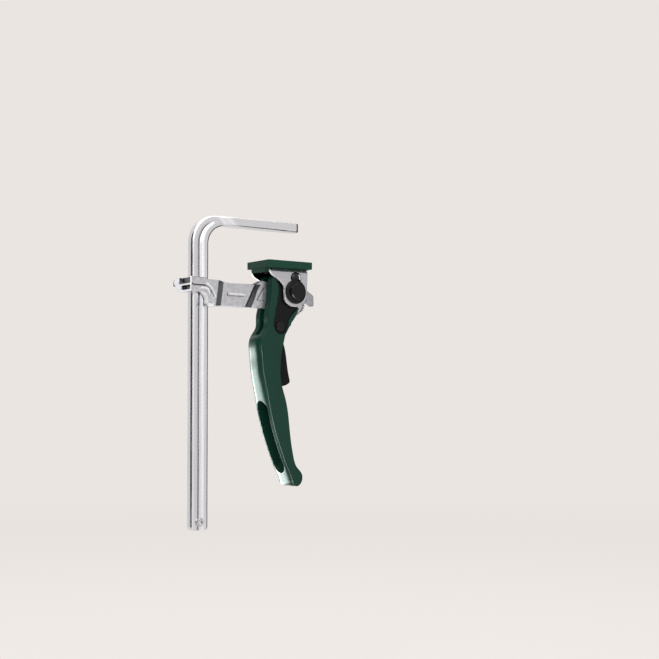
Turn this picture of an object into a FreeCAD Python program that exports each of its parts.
import FreeCAD, Part
import math
import os

# Quick release bar clamp: a forged rail with a fixed upper jaw, a sliding arm, and a ratcheting
# lever whose eccentric studs press a padded head up against the work.
# Millimetres. The origin is the middle of the upper jaw's clamping face, on the clamping axis.
# X runs from the rail to the jaws, Y across the rail, Z up. The near side is -Y.

# Sizes of the whole clamp
jaw_reach = 60.0
jaw_opening = 21.5
rail_below_jaw = 203.2
running_clearance = 0.06
fit_clearance = 0.3
cut_overrun = 5.0
edge_tolerance = 0.02
rounding_steps = 3
outline_pieces = 4
ruled_forward = 1

# Rail and upper jaw
rail_width = 13.5
rail_thickness = 6.5
rail_edge_radius = 1.6
rail_end_chamfer = 2.0
rail_groove_width = 5.2
rail_groove_floor = 2.4
rail_groove_depth = 0.9
bend_inner_radius = 13.0
jaw_height = 6.5
jaw_width = 11.5
jaw_overhang = 12.0
jaw_flare_start = 7.0
jaw_flare_length = 13.0
jaw_tip_radius = 3.5
jaw_edge_chamfer = 0.8

# Stop pin at the rail's lower end
stop_pin_radius = 2.75
stop_pin_bore_radius = 1.3
stop_pin_above_end = 5.4
stop_pin_stand_out = 1.1

# Pressure pad
pad_length = 36.0
pad_width = 26.0
pad_thickness = 5.4
pad_corner_radius = 2.6
pad_top_radius = 0.9
pad_lip_height = 1.5
pad_lip_inset = 1.3

# Pressure bracket, folded from sheet
bracket_sheet = 2.2
bracket_inner_width = 16.8
bracket_fold_radius = 2.4
bracket_front = 14.4
bracket_rear = 15.3
bracket_cheek_radius = 10.3
bracket_drop = 15.4
bracket_arc_from_deg = 166.0
bracket_arc_to_deg = -20.0
bracket_flank_shares = [(0.0, 1.0), (0.02, 0.86), (0.18, 0.64), (0.49, 0.50), (0.80, 0.27), (1.0, 0.0)]
keyhole_lobe_radius = 4.0
keyhole_lobe_rise = 9.6
keyhole_lobe_ahead = 0.4
keyhole_plug_stand_in = 0.2
keyhole_plug_dome = 1.2

# Pad rivets under the bracket's top
pad_rivet_spacing = 22.0
pad_rivet_radius = 1.5
pad_rivet_head_radius = 2.7
pad_rivet_head_height = 1.1
pad_rivet_grip = 3.0

# Eccentric: the studs' axis stands off the lever's pivot by the throw
eccentric_x = 4.9
eccentric_throw = 5.1
eccentric_angle_deg = 105.0
stud_radius = 7.0
stud_head_radius = 6.1
stud_head_height = 3.9
stud_head_chamfer = 0.7
stud_collar_stand_out = 0.4
stud_end_stand_out = 2.0
ring_groove_depth = 0.9
ring_thickness = 0.8
ring_radius = 8.0
ring_gap_width = 4.0
washer_thickness = 0.5
washer_radius = 9.0

# Lever pivot in the tongue
pivot_radius = 3.5
bush_wall = 1.5
tongue_thickness = 4.3
thrust_washer_radius = 5.8

# Ratchet and nose of the tongue
tooth_tip_radius = 12.4
tooth_depth = 1.3
tooth_count = 11
tooth_pitch_deg = 8.4
first_tooth_deg = -10.0
tooth_face_share = 0.75
tooth_land_share = 0.88
tongue_foot_deg = -115.0
nose_reach = 20.4
nose_shares = [(0.55, 40), (0.74, 32), (0.95, 14), (1.0, 9), (1.0, -8), (0.96, -11.5), (0.55, -8)]

# Sliding arm
arm_rise = 8.9
arm_fall = 6.8
panel_thickness = 9.6
panel_front_top = 24.3
panel_front_bottom = 29.6
bevel_length_top = 6.0
bevel_length_bottom = 3.4
hump_height = 3.0
hump_share = 0.33
hump_length = 8.6
sleeve_width = 20.6
sleeve_length_behind = 4.6
sleeve_length_ahead = 4.2
sleeve_bevel_length = 7.0
claw_rise = 0.9
claw_height = 8.2
claw_shelf = 3.4
claw_groove_height = 2.2
claw_groove_depth = 1.1
claw_top_land = 1.1
skirt_fall = 0.8
skirt_front = 9.0
skirt_curve_radius = 6.0
side_step = 0.6
side_step_top = 3.9
side_step_ahead = 1.4
rib_length = 14.4
rib_height = 2.4
rib_stand_out = 0.8
rib_from_sleeve = 10.2
rib_below_top = 6.9
rib_point = 3.0
mark_groove_width = 0.8
mark_groove_depth = 0.4
mark_triangle_shares = [(0.92, 0.90), (0.0, 0.18), (1.0, 0.16)]
mark_width = 6.0
mark_height = 12.0

# Lever handle
handle_length = 128.8
handle_width = 16.0
handle_edge_radius = 1.9
grip_depth = 14.5
head_radius = 9.6
fork_gap = 5.2
fork_depth = 25.2
plate_recess_floor = 5.2
front_shares = [
    (0.10, -1.54), (0.155, -1.57), (0.19, -1.73), (0.225, -1.83), (0.31, -1.80), (0.39, -1.75),
    (0.46, -1.64), (0.56, -1.475), (0.68, -1.21), (0.785, -0.89), (0.845, -0.67), (0.90, -0.455),
    (0.965, -0.17),
]
end_shares = [(0.993, 0.0), (0.997, 0.15), (0.982, 0.34), (0.955, 0.445), (0.93, 0.35)]
rear_shares = [
    (0.90, 0.10), (0.845, -0.09), (0.785, -0.20), (0.68, -0.33), (0.56, -0.49), (0.51, -0.62),
    (0.46, -0.76), (0.39, -0.82), (0.31, -0.76), (0.225, -0.60), (0.16, -0.38), (0.10, 0.03),
]
head_angles_deg = [-40, 0, 40, 80]
head_front_shares = [(-0.75, 1.06), (-1.64, 0.93), (-1.83, 0.45), (-1.92, -0.28), (-2.02, -1.05)]
head_relief_shares = [(-1.42, 2.0), (2.0, 2.0), (2.0, -1.12), (0.0, -1.12), (0.0, 0.6), (-1.42, 0.6)]

# Long pocket in the grip's front face
grip_pocket_width = 9.8
grip_pocket_depth = 5.2
grip_pocket_radius = 3.0
pocket_shares = [0.545, 0.62, 0.70, 0.78, 0.85, 0.905]

# Side plates let into the handle's cheeks
plate_thickness = 2.0
plate_head_radius = 8.7
plate_foot_radius = 5.2
plate_head_angles_deg = [-35, 0, 40, 80]
plate_front_shares = [
    (-0.55, 1.0), (-1.38, 0.95), (-1.40, 0.40), (-1.40, -0.25), (-1.58, -1.2), (-1.74, -2.0),
]
plate_foot_angles_deg = [195, 235, 275, 315]
plate_rear_shares = [(-0.40, -2.3), (0.06, -1.66), (0.48, -1.22)]

# Rivets of the side plates
foot_rivet_ahead = 10.4
foot_rivet_below = 24.2
foot_rivet_radius = 2.5
foot_rivet_head_radius = 3.6
foot_rivet_head_height = 1.3

# Locking pawl and release trigger
pawl_axis_ahead = 7.7
pawl_axis_below = 23.3
pawl_pin_radius = 1.6
pawl_hub_radius = 3.2
pawl_tip_clearance = 0.35
pawl_tip_deg = -84.0
pawl_thickness = 4.3
pawl_size = 14.0
pawl_nose_shares = [(0.79, 0.64), (0.78, 0.42), (0.51, 0.16), (0.20, -0.15)]
pawl_back_shares = [(0.05, 0.235), (0.43, 0.57)]
pawl_shoulder_shares = [(-1.0, -0.5), (-0.6, 0.75)]
pawl_tail_length = 17.0
pawl_tail_front_share = -0.17
pawl_tail_rear_share = 0.02
trigger_length = 37.4
trigger_width = 8.2
trigger_depth = 11.4
trigger_edge_radius = 0.8
trigger_shares = [
    (0.15, 0.01), (0.23, 0.14), (0.34, 0.24), (0.61, 0.38), (0.86, 0.55), (0.915, 0.56), (0.945, 0.46),
    (0.99, 0.03), (0.99, -0.20), (0.93, -0.36), (0.80, -0.44), (0.50, -0.42), (0.24, -0.33), (0.16, -0.22),
    (0.135, -0.11),
]
trigger_rivet_radius = 1.2
trigger_rivet_below = 12.0
trigger_rivet_ahead = 1.3
pawl_slot_clearance = 1.0
trigger_pocket_width = 9.0
trigger_pocket_depth = 13.2
trigger_pocket_top = 3.6
trigger_pocket_bottom = 39.6
trigger_pocket_heel = 8.6
trigger_spring_radius = 2.1
trigger_spring_wire = 0.6
trigger_spring_below = 26.0
trigger_spring_length = 6.1

# Places worked out from the sizes
diagonal = math.cos(math.radians(45))
rail_inner = -jaw_reach
rail_outer = rail_inner - rail_width
rail_centre = rail_inner - rail_width / 2
pad_top = -jaw_opening
bracket_top = pad_top - pad_thickness
bracket_outer = bracket_inner_width / 2 + bracket_sheet
stud_x = eccentric_x
stud_z = bracket_top - bracket_drop
throw_x = eccentric_throw * math.cos(math.radians(eccentric_angle_deg))
throw_z = eccentric_throw * math.sin(math.radians(eccentric_angle_deg))
pivot_x = stud_x - throw_x
pivot_z = stud_z - throw_z
pawl_x = pivot_x - pawl_axis_ahead
pawl_z = pivot_z - pawl_axis_below
plate_outer = plate_recess_floor + plate_thickness
arm_top = pivot_z + arm_rise
arm_bottom = pivot_z - arm_fall


# Helpers for shapes drawn in the XZ plane and carried across Y
def box(x_from, x_to, y_from, y_to, z_from, z_to):
    corner = FreeCAD.Vector(x_from, y_from, z_from)
    return Part.makeBox(x_to - x_from, y_to - y_from, z_to - z_from, corner)


def pin(x, z, radius, y_from, y_to):
    return Part.makeCylinder(radius, y_to - y_from, FreeCAD.Vector(x, y_from, z), FreeCAD.Vector(0, 1, 0))


def side_wire(points):
    corners = [FreeCAD.Vector(x, 0, z) for x, z in points]
    return Part.makePolygon(corners + corners[:1])


def smooth_edges(points, inset=0.0, y=0.0):
    base = Part.BSplineCurve()
    base.interpolate([FreeCAD.Vector(x, 0, z) for x, z in points], PeriodicFlag=True)
    knots = base.getKnots()
    moved = []
    for knot in knots[:-1]:
        along = base.tangent(knot)[0]
        inward = FreeCAD.Vector(-along.z, 0, along.x)
        moved.append(base.value(knot) + inward * inset + FreeCAD.Vector(0, y, 0))
    curve = Part.BSplineCurve()
    curve.interpolate(Points=moved, PeriodicFlag=True, Parameters=knots)
    last = len(knots) - 1
    cuts = [knots[round(last * piece / outline_pieces)] for piece in range(outline_pieces + 1)]
    return [curve.toShape(start, end) for start, end in zip(cuts, cuts[1:])]


def smooth_wire(points, inset=0.0):
    return Part.Wire(smooth_edges(points, inset))


def rounded_bar(points, half_width, radius):
    levels = []
    for step in range(rounding_steps + 1):
        turn = math.pi / 2 * step / rounding_steps
        levels.append((half_width - radius + radius * math.sin(turn), radius - radius * math.cos(turn)))
    levels = [(-y, inset) for y, inset in reversed(levels)] + levels
    rings = [smooth_edges(points, inset, y) for y, inset in levels]
    faces = [Part.Face(Part.Wire(rings[0])), Part.Face(Part.Wire(rings[-1]))]
    for ring, next_ring in zip(rings, rings[1:]):
        faces += [Part.makeRuledSurface(low, high, ruled_forward) for low, high in zip(ring, next_ring)]
    shell = Part.makeShell(faces)
    shell.sewShape()
    return Part.makeSolid(shell)


def across(wire, y_from, y_to):
    face = Part.Face(wire)
    face.translate(FreeCAD.Vector(0, y_from, 0))
    return face.extrude(FreeCAD.Vector(0, y_to - y_from, 0))


def around(x, z, radius, angle_deg):
    angle = math.radians(angle_deg)
    return (x + radius * math.cos(angle), z + radius * math.sin(angle))


def edges_where(solid, test):
    return [edge for edge in solid.Edges if test(edge.BoundBox)]


def rim_at(solid, y):
    return edges_where(solid, lambda b: max(abs(b.YMin - y), abs(b.YMax - y)) < edge_tolerance)


def on_both_sides(solid):
    return solid.mirror(FreeCAD.Vector(0, 0, 0), FreeCAD.Vector(0, 1, 0))


# Rail: a grooved bar, bent over into the upper jaw
def make_rail():
    outer_radius = bend_inner_radius + jaw_height
    bend_z = -bend_inner_radius
    bottom = -rail_below_jaw
    outer_centre = rail_outer + outer_radius
    inner_centre = rail_inner + bend_inner_radius

    def point(x, z):
        return FreeCAD.Vector(x, 0, z)

    edges = [
        Part.makeLine(point(rail_outer, bottom), point(rail_outer, bend_z)),
        Part.Arc(
            point(rail_outer, bend_z),
            point(outer_centre - outer_radius * diagonal, bend_z + outer_radius * diagonal),
            point(outer_centre, jaw_height),
        ).toShape(),
        Part.makeLine(point(outer_centre, jaw_height), point(jaw_overhang, jaw_height)),
        Part.makeLine(point(jaw_overhang, jaw_height), point(jaw_overhang, 0)),
        Part.makeLine(point(jaw_overhang, 0), point(inner_centre, 0)),
        Part.Arc(
            point(inner_centre, 0),
            point(inner_centre - bend_inner_radius * diagonal, bend_z + bend_inner_radius * diagonal),
            point(rail_inner, bend_z),
        ).toShape(),
        Part.makeLine(point(rail_inner, bend_z), point(rail_inner, bottom)),
        Part.makeLine(point(rail_inner, bottom), point(rail_outer, bottom)),
    ]
    outline = Part.Wire(edges)

    bar = across(outline, -rail_thickness / 2, rail_thickness / 2)
    corners = edges_where(bar, lambda b: b.ZLength < rail_edge_radius and b.ZMin < bottom + rail_edge_radius
                          and b.YLength > rail_edge_radius)
    bar = bar.makeChamfer(rail_end_chamfer, corners)
    round_edges = edges_where(bar, lambda b: b.YLength < rail_edge_radius and b.ZLength > bend_inner_radius
                              and b.ZMax < bend_z + rail_edge_radius)
    bends = edges_where(bar, lambda b: b.YLength < rail_edge_radius and b.XLength > rail_width / 2
                        and b.ZLength > rail_width / 2)
    bar = bar.makeFillet(rail_edge_radius, round_edges + bends)

    flare_x = rail_inner + jaw_flare_start
    wide_x = flare_x + jaw_flare_length
    plan = [
        (flare_x, rail_thickness / 2), (wide_x, jaw_width / 2),
        (jaw_overhang - jaw_tip_radius, jaw_width / 2), (jaw_overhang, jaw_width / 2 - jaw_tip_radius),
    ]
    plan += [(x, -y) for x, y in reversed(plan)]
    corners = [FreeCAD.Vector(x, y, 0) for x, y in plan]
    jaw = Part.Face(Part.makePolygon(corners + corners[:1])).extrude(FreeCAD.Vector(0, 0, jaw_height))
    long_edges = edges_where(jaw, lambda b: b.ZLength < jaw_edge_chamfer and b.ZMin > jaw_height / 2)
    jaw = jaw.makeChamfer(jaw_edge_chamfer, long_edges)
    solid = bar.fuse(jaw)

    groove_top = bend_z - rail_groove_width
    for side in (1, -1):
        face_y = side * rail_thickness / 2
        section = [
            (rail_groove_width / 2, face_y), (rail_groove_floor / 2, face_y - side * rail_groove_depth),
            (-rail_groove_floor / 2, face_y - side * rail_groove_depth), (-rail_groove_width / 2, face_y),
        ]
        corners = [FreeCAD.Vector(rail_centre + x, y, bottom - cut_overrun) for x, y in section]
        groove = Part.Face(Part.makePolygon(corners + corners[:1]))
        height = groove_top - bottom + cut_overrun
        solid = solid.cut(groove.extrude(FreeCAD.Vector(0, 0, height)))
    hole_z = bottom + stop_pin_above_end
    solid = solid.cut(pin(rail_centre, hole_z, stop_pin_radius, -rail_thickness, rail_thickness))
    return solid.removeSplitter()


# Hollow spring pin through the rail's end, which stops the sliding arm
def make_rail_stop_pin():
    half = rail_thickness / 2 + stop_pin_stand_out
    z = -rail_below_jaw + stop_pin_above_end
    body = pin(rail_centre, z, stop_pin_radius, -half, half)
    return body.cut(pin(rail_centre, z, stop_pin_bore_radius, -half, half))


# Sleeve of the sliding arm: a claw behind the rail, cheeks beside it and a skirt in front
def make_sleeve():
    half = sleeve_width / 2
    rear = rail_outer - sleeve_length_behind
    ahead = rail_inner + sleeve_length_ahead
    claw_top = arm_top + claw_rise
    claw_bottom = claw_top - claw_height
    skirt_bottom = arm_bottom - skirt_fall
    shelf_x = rear + sleeve_length_behind + claw_shelf
    skirt_x = rail_outer + skirt_front
    curve_z = claw_bottom - skirt_curve_radius
    neck_x = ahead + sleeve_bevel_length

    def point(x, z):
        return FreeCAD.Vector(x, 0, z)

    edges = [
        Part.makeLine(point(rear, claw_bottom), point(rear, claw_top)),
        Part.makeLine(point(rear, claw_top), point(rail_centre, claw_top)),
        Part.makeLine(point(rail_centre, claw_top), point(rail_centre + claw_rise, arm_top)),
        Part.makeLine(point(rail_centre + claw_rise, arm_top), point(neck_x, arm_top)),
        Part.makeLine(point(neck_x, arm_top), point(neck_x, arm_bottom)),
        Part.makeLine(point(neck_x, arm_bottom), point(ahead, skirt_bottom)),
        Part.makeLine(point(ahead, skirt_bottom), point(skirt_x, skirt_bottom)),
        Part.makeLine(point(skirt_x, skirt_bottom), point(skirt_x, curve_z)),
        Part.Arc(
            point(skirt_x, curve_z),
            point(shelf_x + (skirt_x - shelf_x) * diagonal, curve_z + skirt_curve_radius * diagonal),
            point(shelf_x, claw_bottom),
        ).toShape(),
        Part.makeLine(point(shelf_x, claw_bottom), point(rear, claw_bottom)),
    ]
    block = across(Part.Wire(edges), -half, half)

    neck = panel_thickness / 2
    plan = [(rear, half), (ahead, half), (neck_x, neck)]
    plan += [(x, -y) for x, y in reversed(plan)]
    corners = [FreeCAD.Vector(x, y, skirt_bottom) for x, y in plan]
    plan_face = Part.Face(Part.makePolygon(corners + corners[:1]))
    block = block.common(plan_face.extrude(FreeCAD.Vector(0, 0, claw_top - skirt_bottom)))

    step_top = claw_top - side_step_top
    step_x = ahead - side_step_ahead
    step = [
        (rear - cut_overrun, step_top), (rail_centre, step_top),
        (rail_inner - side_step_ahead, claw_bottom + side_step), (step_x, curve_z),
        (step_x, skirt_bottom - cut_overrun), (rear - cut_overrun, skirt_bottom - cut_overrun),
    ]
    shelf = across(side_wire(step), half - side_step, half + cut_overrun)
    block = block.cut(shelf).cut(on_both_sides(shelf))

    groove_tops = [claw_top - claw_top_land, claw_top - claw_height + claw_top_land + claw_groove_height]
    for top in groove_tops:
        block = block.cut(box(rear - cut_overrun, rear + claw_groove_depth, -half + claw_top_land,
                              half - claw_top_land, top - claw_groove_height, top))
    return block


# Tongue of the sliding arm: panel core, hump, ratchet disc and nose in one thin plate
def make_tongue():
    half = tongue_thickness / 2
    root_radius = tooth_tip_radius - tooth_depth
    start = rail_inner + sleeve_length_ahead
    top_x = -panel_front_top + bevel_length_top
    strip = side_wire([
        (start, arm_bottom), (start, arm_top), (top_x - hump_length, arm_top),
        (top_x - hump_length / 2, arm_top + hump_height * hump_share), (top_x, arm_top + hump_height),
        (pivot_x, pivot_z + root_radius), (pivot_x, pivot_z - root_radius),
        around(pivot_x, pivot_z, root_radius, tongue_foot_deg),
        (-panel_front_bottom + bevel_length_bottom, arm_bottom),
    ])
    plate = across(strip, -half, half)
    plate = plate.fuse(pin(pivot_x, pivot_z, root_radius, -half, half))

    ratchet = [(pivot_x, pivot_z)]
    for tooth in range(tooth_count):
        start_deg = first_tooth_deg - tooth * tooth_pitch_deg
        face_deg = start_deg - tooth_pitch_deg * tooth_face_share
        land_deg = start_deg - tooth_pitch_deg * tooth_land_share
        ratchet.append(around(pivot_x, pivot_z, root_radius, start_deg))
        ratchet.append(around(pivot_x, pivot_z, tooth_tip_radius, face_deg))
        ratchet.append(around(pivot_x, pivot_z, tooth_tip_radius, land_deg))
    last_deg = first_tooth_deg - tooth_count * tooth_pitch_deg
    ratchet.append(around(pivot_x, pivot_z, root_radius, last_deg))
    plate = plate.fuse(across(side_wire(ratchet), -half, half))

    nose = [around(pivot_x, pivot_z, nose_reach * share, angle) for share, angle in nose_shares]
    return plate.fuse(across(side_wire(nose), -half, half)).removeSplitter()


# Thicker panel on each side of the tongue's root, with its slanted end
def make_panel_side():
    start = rail_inner + sleeve_length_ahead + sleeve_bevel_length / 2
    inner = side_wire([
        (start, arm_bottom), (start, arm_top), (-panel_front_top + bevel_length_top, arm_top),
        (-panel_front_bottom + bevel_length_bottom, arm_bottom),
    ])
    outer = side_wire([
        (start, arm_bottom), (start, arm_top), (-panel_front_top, arm_top),
        (-panel_front_bottom, arm_bottom),
    ])
    inner.translate(FreeCAD.Vector(0, tongue_thickness / 2, 0))
    outer.translate(FreeCAD.Vector(0, panel_thickness / 2, 0))
    return Part.makeLoft([inner, outer], True, True)


# Raised pointed rib on each panel face
def make_rib():
    left = rail_inner + rib_from_sleeve + sleeve_length_ahead
    right = left + rib_length
    middle = arm_top - rib_below_top
    top = middle + rib_height / 2
    bottom = middle - rib_height / 2
    outline = side_wire([(left, bottom), (left, top), (right - rib_point, top), (right, bottom)])
    face = panel_thickness / 2
    return across(outline, face - rib_stand_out, face + rib_stand_out)


# Three-cornered cast outline on each tongue face
def make_tongue_mark():
    left = -panel_front_top + bevel_length_top - mark_width / 2
    bottom = arm_bottom + (arm_top - arm_bottom - mark_height) / 2
    corners = [(left + mark_width * u, bottom + mark_height * v) for u, v in mark_triangle_shares]
    face = tongue_thickness / 2
    mark = None
    for (x1, z1), (x2, z2) in zip(corners, corners[1:] + corners[:1]):
        length = math.hypot(x2 - x1, z2 - z1)
        turn = math.degrees(math.atan2(z2 - z1, x2 - x1))
        bar = box(0, length, face - mark_groove_depth, face + cut_overrun, -mark_groove_width / 2,
                  mark_groove_width / 2)
        bar.rotate(FreeCAD.Vector(0, 0, 0), FreeCAD.Vector(0, -1, 0), turn)
        bar.translate(FreeCAD.Vector(x1, 0, z1))
        mark = bar if mark is None else mark.fuse(bar)
    return mark


# Sliding arm, cast in one piece
def make_sliding_arm():
    panel = make_panel_side()
    rib = make_rib()
    arm = make_sleeve().fuse(make_tongue())
    for addition in (panel, on_both_sides(panel), rib, on_both_sides(rib)):
        arm = arm.fuse(addition)
    mark = make_tongue_mark()
    arm = arm.cut(mark).cut(on_both_sides(mark))
    opening_y = rail_thickness / 2 + fit_clearance
    opening = box(rail_outer - fit_clearance, rail_inner + fit_clearance, -opening_y, opening_y,
                  arm_bottom - cut_overrun, arm_top + cut_overrun)
    uprights = edges_where(opening, lambda b: b.ZLength > rail_width)
    arm = arm.cut(opening.makeFillet(rail_edge_radius, uprights))
    bore_radius = pivot_radius + running_clearance + bush_wall
    arm = arm.cut(pin(pivot_x, pivot_z, bore_radius, -sleeve_width, sleeve_width))
    return arm.removeSplitter()


# Plain bush pressed into the tongue
def make_pivot_bush():
    half = tongue_thickness / 2
    inner = pivot_radius + running_clearance
    tube = pin(pivot_x, pivot_z, inner + bush_wall, -half, half)
    return tube.cut(pin(pivot_x, pivot_z, inner, -half, half))


# Points of the handle's outline seen from the side
def handle_points():
    def grip(shares):
        return [(pivot_x + grip_depth * u, pivot_z - handle_length * v) for v, u in shares]

    head = [around(stud_x, stud_z, head_radius, angle) for angle in head_angles_deg]
    front = [(stud_x + head_radius * u, stud_z + head_radius * v) for u, v in head_front_shares]
    return head + front + grip(front_shares + end_shares + rear_shares)


# Outline of a side plate, grown by a clearance for its recess
def plate_outline(grow):
    foot_x = stud_x - foot_rivet_ahead
    foot_z = stud_z - foot_rivet_below

    def near_stud(shares):
        return [(stud_x + plate_head_radius * u, stud_z + plate_head_radius * v) for u, v in shares]

    head = [around(stud_x, stud_z, plate_head_radius, angle) for angle in plate_head_angles_deg]
    foot = [around(foot_x, foot_z, plate_foot_radius, angle) for angle in plate_foot_angles_deg]
    return smooth_wire(head + near_stud(plate_front_shares) + foot + near_stud(plate_rear_shares), -grow)


# Front line of the grip between two shares of its length
def grip_front(share):
    table = sorted(front_shares)
    for (low, low_x), (high, high_x) in zip(table, table[1:]):
        if low <= share <= high:
            blend = (share - low) / (high - low)
            return pivot_x + grip_depth * (low_x + blend * (high_x - low_x))
    return pivot_x + grip_depth * table[-1][1]


# Long pocket that follows the grip's front face
def make_grip_pocket():
    half = grip_pocket_width / 2
    line = [(grip_front(share), pivot_z - handle_length * share) for share in pocket_shares]
    inner = [(x + grip_pocket_depth, z) for x, z in line]
    outer = [(x - cut_overrun, z) for x, z in reversed(line)]
    pocket = across(side_wire(inner + outer), -half, half)
    ends = edges_where(pocket, lambda b: b.ZLength < grip_pocket_radius and b.YLength < grip_pocket_radius
                       and b.XLength > grip_pocket_depth)
    return pocket.makeFillet(grip_pocket_radius, ends)


# Pocket in the grip's rear for the release trigger
def make_trigger_pocket():
    half = trigger_pocket_width / 2
    top = pawl_z - trigger_pocket_top
    bottom = pawl_z - trigger_pocket_bottom
    floor = pawl_x - trigger_pocket_depth + pawl_hub_radius / 2
    heel = pawl_x - trigger_pocket_heel + pawl_hub_radius
    outer = pawl_x + trigger_pocket_depth
    outline = side_wire([
        (outer, top), (heel, top), (floor, top - trigger_spring_below / 2), (floor, bottom),
        (outer, bottom),
    ])
    return across(outline, -half, half)


# Lever handle: moulded grip with a forked head
def make_lever_handle():
    half = handle_width / 2
    body = rounded_bar(handle_points(), half, handle_edge_radius)

    gap = fork_gap / 2
    fork_floor = pivot_z - fork_depth
    top = stud_z + head_radius + cut_overrun
    slot = box(pivot_x - handle_length, pivot_x + handle_length, -gap, gap, fork_floor, top)
    pawl_slot = box(pawl_x - pawl_hub_radius - pawl_slot_clearance, pivot_x + handle_length, -gap, gap,
                    pawl_z - trigger_pocket_top - pawl_slot_clearance, pawl_z)
    body = body.cut(slot).cut(pawl_slot).cut(make_trigger_pocket()).cut(make_grip_pocket())
    recess = across(plate_outline(running_clearance), plate_recess_floor, half + cut_overrun)
    relief_points = [(stud_x + head_radius * u, stud_z + head_radius * v) for u, v in head_relief_shares]
    recess = recess.fuse(across(side_wire(relief_points), plate_recess_floor, half + cut_overrun))
    body = body.cut(recess).cut(on_both_sides(recess))

    foot_x = stud_x - foot_rivet_ahead
    foot_z = stud_z - foot_rivet_below
    for x, z, radius in (
        (pivot_x, pivot_z, pivot_radius),
        (foot_x, foot_z, foot_rivet_radius),
        (pawl_x, pawl_z, pawl_pin_radius),
    ):
        body = body.cut(pin(x, z, radius, -plate_recess_floor, plate_recess_floor))
    return body


# Side plate of the near or far cheek
def make_side_plate(side):
    plate = across(plate_outline(0), plate_recess_floor, plate_outer)
    foot_x = stud_x - foot_rivet_ahead
    foot_z = stud_z - foot_rivet_below
    for x, z, radius in (
        (pivot_x, pivot_z, pivot_radius),
        (foot_x, foot_z, foot_rivet_radius),
    ):
        plate = plate.cut(pin(x, z, radius, 0, handle_width))
    return plate if side > 0 else on_both_sides(plate)


# Pivot pin of the lever, flush with the side plates
def make_lever_pivot_pin():
    return pin(pivot_x, pivot_z, pivot_radius, -plate_outer, plate_outer)


# Thin washers between the tongue and the fork
def make_thrust_washers():
    inner_face = tongue_thickness / 2 + running_clearance
    washer = pin(pivot_x, pivot_z, thrust_washer_radius, inner_face, fork_gap / 2)
    washer = washer.cut(pin(pivot_x, pivot_z, pivot_radius + running_clearance, 0, fork_gap))
    return Part.makeCompound([washer, on_both_sides(washer)])


# Stud of the near side, with the round head that stands out of the keyhole
def make_eccentric_stud_near():
    collar_end = bracket_outer + stud_collar_stand_out
    head_end = collar_end + stud_head_height
    collar = pin(stud_x, stud_z, stud_radius, plate_outer, collar_end)
    head = pin(stud_x, stud_z, stud_head_radius, collar_end, head_end)
    head = head.makeChamfer(stud_head_chamfer, rim_at(head, head_end))
    return on_both_sides(collar.fuse(head))


# Stud of the far side, grooved for its retaining ring
def make_eccentric_stud_far():
    end = bracket_outer + stud_end_stand_out + washer_thickness
    stud = pin(stud_x, stud_z, stud_radius, plate_outer, end)
    stud = stud.makeChamfer(stud_head_chamfer / 2, rim_at(stud, end))
    ring_from = bracket_outer + running_clearance + washer_thickness
    groove = pin(stud_x, stud_z, stud_radius + cut_overrun, ring_from, ring_from + ring_thickness)
    groove = groove.cut(pin(stud_x, stud_z, stud_radius - ring_groove_depth, 0, end))
    return stud.cut(groove)


# Washer behind the retaining ring
def make_bracket_washer():
    near = bracket_outer + running_clearance
    disc = pin(stud_x, stud_z, washer_radius, near, near + washer_thickness)
    return disc.cut(pin(stud_x, stud_z, stud_radius + running_clearance, near, near + washer_thickness))


# Open spring ring in the far stud's groove
def make_retaining_ring():
    near = bracket_outer + running_clearance + washer_thickness
    ring = pin(stud_x, stud_z, ring_radius, near, near + ring_thickness)
    ring = ring.cut(pin(stud_x, stud_z, stud_radius - ring_groove_depth, near, near + ring_thickness))
    gap = ring_gap_width / 2
    bottom = stud_z - ring_radius
    return ring.cut(box(stud_x - gap, stud_x + gap, near, near + ring_thickness, bottom, stud_z))


# Rivet through both side plates at their feet
def make_plate_foot_rivet():
    x = stud_x - foot_rivet_ahead
    z = stud_z - foot_rivet_below
    end = plate_outer + foot_rivet_head_height
    head = pin(x, z, foot_rivet_head_radius, plate_outer, end)
    head = head.makeFillet(foot_rivet_head_height / 2, rim_at(head, end))
    shank = pin(x, z, foot_rivet_radius, -plate_outer, plate_outer)
    return shank.fuse(head).fuse(on_both_sides(head)).removeSplitter()


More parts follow.
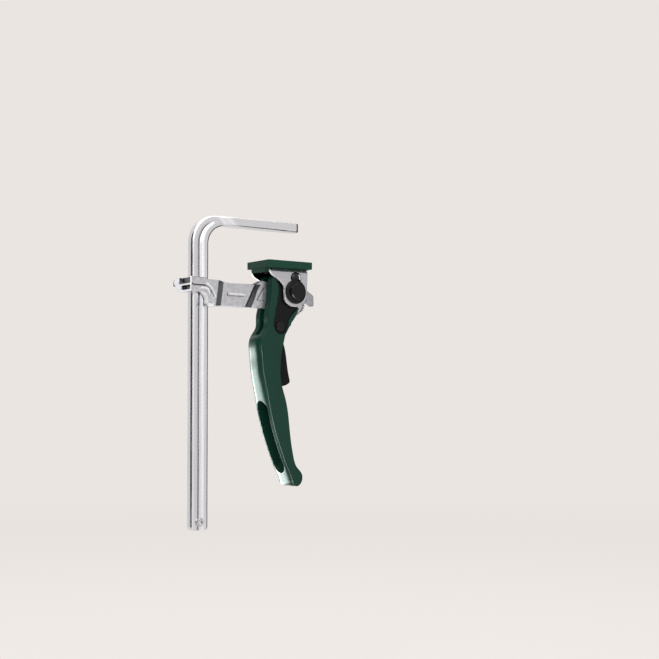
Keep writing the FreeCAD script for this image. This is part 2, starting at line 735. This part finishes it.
# Pressure bracket: a folded channel with keyholed cheeks
def make_pressure_bracket():
    inner = bracket_inner_width / 2
    bottom = stud_z - bracket_cheek_radius
    outer_block = box(-bracket_front, bracket_rear, -bracket_outer, bracket_outer, bottom, bracket_top)
    folds = edges_where(outer_block, lambda b: b.XLength > bracket_front
                        and b.ZMin > bracket_top - bracket_sheet)
    outer_block = outer_block.makeFillet(bracket_fold_radius, folds)
    ceiling = bracket_top - bracket_sheet
    channel = outer_block.cut(
        box(-bracket_front, bracket_rear, -inner, inner, bottom, ceiling)
    )

    def point(x, z):
        return FreeCAD.Vector(x, 0, z)

    left_x, left_z = around(stud_x, stud_z, bracket_cheek_radius, bracket_arc_from_deg)
    right_x, right_z = around(stud_x, stud_z, bracket_cheek_radius, bracket_arc_to_deg)
    low = point(stud_x, bottom)
    height = bracket_top - left_z
    width = left_x + bracket_front
    flank = Part.BSplineCurve()
    flank.interpolate([
        point(-bracket_front + width * u, left_z + height * v) for u, v in bracket_flank_shares
    ])
    edges = [
        flank.toShape(),
        Part.Arc(point(left_x, left_z), low, point(right_x, right_z)).toShape(),
        Part.makeLine(point(right_x, right_z), point(bracket_rear, bracket_top)),
        Part.makeLine(point(bracket_rear, bracket_top), point(-bracket_front, bracket_top)),
    ]
    bracket = channel.common(across(Part.Wire(edges), -bracket_outer, bracket_outer))

    bore = stud_radius + running_clearance
    reach = bracket_outer + cut_overrun
    bracket = bracket.cut(pin(stud_x, stud_z, bore, -reach, reach))
    lobe_z = stud_z + keyhole_lobe_rise
    bracket = bracket.cut(pin(stud_x + keyhole_lobe_ahead, lobe_z, keyhole_lobe_radius, -reach, reach))
    for x in (-pad_rivet_spacing / 2, pad_rivet_spacing / 2):
        hole = Part.makeCylinder(pad_rivet_radius, bracket_sheet + cut_overrun,
                                 FreeCAD.Vector(x, 0, ceiling - cut_overrun / 2))
        bracket = bracket.cut(hole)
    return bracket.removeSplitter()


# Domed plugs pressed into the keyholes' upper lobes, hollowed to the studs' bore
def make_keyhole_plugs():
    x = stud_x + keyhole_lobe_ahead
    z = stud_z + keyhole_lobe_rise
    inner = bracket_inner_width / 2
    end = bracket_outer - keyhole_plug_stand_in
    plug = pin(x, z, keyhole_lobe_radius, inner, end)
    plug = plug.makeFillet(keyhole_plug_dome, rim_at(plug, end))
    plug = plug.cut(pin(stud_x, stud_z, stud_radius + running_clearance, 0, end + cut_overrun))
    return Part.makeCompound([plug, on_both_sides(plug)])


# Moulded pad on top of the bracket
def make_pressure_pad():
    half_x = pad_length / 2
    half_y = pad_width / 2
    lip_top = bracket_top + pad_lip_height
    plate = box(-half_x, half_x, -half_y, half_y, lip_top, pad_top)
    uprights = edges_where(plate, lambda b: b.ZLength > pad_thickness / 2)
    plate = plate.makeFillet(pad_corner_radius, uprights)
    rims = edges_where(plate, lambda b: b.ZMin > pad_top - pad_top_radius / 2)
    plate = plate.makeFillet(pad_top_radius, rims)
    lip_x = half_x - pad_lip_inset
    lip_y = half_y - pad_lip_inset
    lip = box(-lip_x, lip_x, -lip_y, lip_y, bracket_top, lip_top)
    lip = lip.makeFillet(pad_corner_radius, edges_where(lip, lambda b: b.ZLength > pad_lip_height / 2))
    pad = plate.fuse(lip)
    for x in (-pad_rivet_spacing / 2, pad_rivet_spacing / 2):
        base = FreeCAD.Vector(x, 0, bracket_top)
        pad = pad.cut(Part.makeCylinder(pad_rivet_radius, pad_rivet_grip, base))
    return pad.removeSplitter()


# Blind rivets that hold the pad, with their heads under the bracket's top
def make_pad_rivets():
    rivets = []
    ceiling = bracket_top - bracket_sheet
    for x in (-pad_rivet_spacing / 2, pad_rivet_spacing / 2):
        shank = Part.makeCylinder(pad_rivet_radius, bracket_sheet + pad_rivet_grip,
                                  FreeCAD.Vector(x, 0, ceiling))
        base = FreeCAD.Vector(x, 0, ceiling - pad_rivet_head_height)
        head = Part.makeCylinder(pad_rivet_head_radius, pad_rivet_head_height, base)
        low_rim = edges_where(head, lambda b: b.ZMax < ceiling - pad_rivet_head_height / 2)
        head = head.makeFillet(pad_rivet_head_height / 2, low_rim)
        rivets.append(shank.fuse(head).removeSplitter())
    return Part.makeCompound(rivets)


# Outline of the pawl: head under the teeth, hub on its pin and tail into the trigger
def pawl_outline():
    tip_radius = tooth_tip_radius + pawl_tip_clearance
    tip = around(pivot_x, pivot_z, tip_radius, pawl_tip_deg)

    def near_hub(shares):
        return [(pawl_x + pawl_size * u, pawl_z + pawl_size * v) for u, v in shares]

    tail_z = pawl_z - pawl_tail_length
    tail = [
        (pawl_x + pawl_tail_rear_share * pawl_size, tail_z),
        (pawl_x + pawl_tail_front_share * pawl_size, tail_z),
    ]
    tail += [(pawl_x + pawl_hub_radius * u, pawl_z + pawl_hub_radius * v) for u, v in pawl_shoulder_shares]
    return side_wire([tip] + near_hub(pawl_nose_shares) + tail + near_hub(pawl_back_shares))


# Locking pawl
def make_locking_pawl():
    half = pawl_thickness / 2
    pawl = across(pawl_outline(), -half, half)
    pawl = pawl.cut(pin(pawl_x, pawl_z, pawl_pin_radius + running_clearance, -half, half))
    rivet_x = pawl_x - trigger_rivet_ahead
    return pawl.cut(pin(rivet_x, pawl_z - trigger_rivet_below, trigger_rivet_radius, -half, half))


# Moulded release trigger on the pawl's tail
def make_release_trigger():
    half = trigger_width / 2
    shares = reversed(trigger_shares)
    points = [(pawl_x + trigger_depth * u, pawl_z - trigger_length * v) for v, u in shares]
    trigger = rounded_bar(points, half, trigger_edge_radius)
    trigger = trigger.cut(across(pawl_outline(), -pawl_thickness / 2, pawl_thickness / 2))
    rivet_x = pawl_x - trigger_rivet_ahead
    trigger = trigger.cut(pin(rivet_x, pawl_z - trigger_rivet_below, trigger_rivet_radius, -half, half))
    return trigger


# Rivet that ties the trigger to the pawl's tail
def make_trigger_rivet():
    half = trigger_width / 2 - trigger_edge_radius / 2
    x = pawl_x - trigger_rivet_ahead
    return pin(x, pawl_z - trigger_rivet_below, trigger_rivet_radius, -half, half)


# Pin on which the pawl and trigger turn, pressed into the fork
def make_pawl_pin():
    half = plate_recess_floor
    return pin(pawl_x, pawl_z, pawl_pin_radius, -half, half)


# Return spring between the trigger and its pocket's floor, as its outer sleeve
def make_trigger_spring():
    floor = pawl_x - trigger_pocket_depth + pawl_hub_radius / 2
    z = pawl_z - trigger_spring_below
    base = FreeCAD.Vector(floor, 0, z)
    along = FreeCAD.Vector(1, 0, 0)
    sleeve = Part.makeCylinder(trigger_spring_radius, trigger_spring_length, base, along)
    bore = trigger_spring_radius - trigger_spring_wire
    return sleeve.cut(Part.makeCylinder(bore, trigger_spring_length, base, along))


NODES = {
    "rail": make_rail,
    "rail_stop_pin": make_rail_stop_pin,
    "sliding_arm": make_sliding_arm,
    "pivot_bush": make_pivot_bush,
    "lever_handle": make_lever_handle,
    "side_plate_near": lambda: make_side_plate(-1),
    "side_plate_far": lambda: make_side_plate(1),
    "lever_pivot_pin": make_lever_pivot_pin,
    "thrust_washers": make_thrust_washers,
    "eccentric_stud_near": make_eccentric_stud_near,
    "eccentric_stud_far": make_eccentric_stud_far,
    "bracket_washer": make_bracket_washer,
    "retaining_ring": make_retaining_ring,
    "plate_foot_rivet": make_plate_foot_rivet,
    "pressure_bracket": make_pressure_bracket,
    "keyhole_plugs": make_keyhole_plugs,
    "pressure_pad": make_pressure_pad,
    "pad_rivets": make_pad_rivets,
    "locking_pawl": make_locking_pawl,
    "release_trigger": make_release_trigger,
    "trigger_rivet": make_trigger_rivet,
    "pawl_pin": make_pawl_pin,
    "trigger_spring": make_trigger_spring,
}

os.makedirs("parts", exist_ok=True)
for name, make in NODES.items():
    shape = make()
    shape.exportStep(f"parts/{name}.step")
    box_size = shape.BoundBox
    print(f"{name}: solids {len(shape.Solids)}, volume {shape.Volume:.1f}, valid {shape.isValid()}, "
          f"x {box_size.XMin:.2f} {box_size.XMax:.2f}, y {box_size.YMin:.2f} {box_size.YMax:.2f}, "
          f"z {box_size.ZMin:.2f} {box_size.ZMax:.2f}")
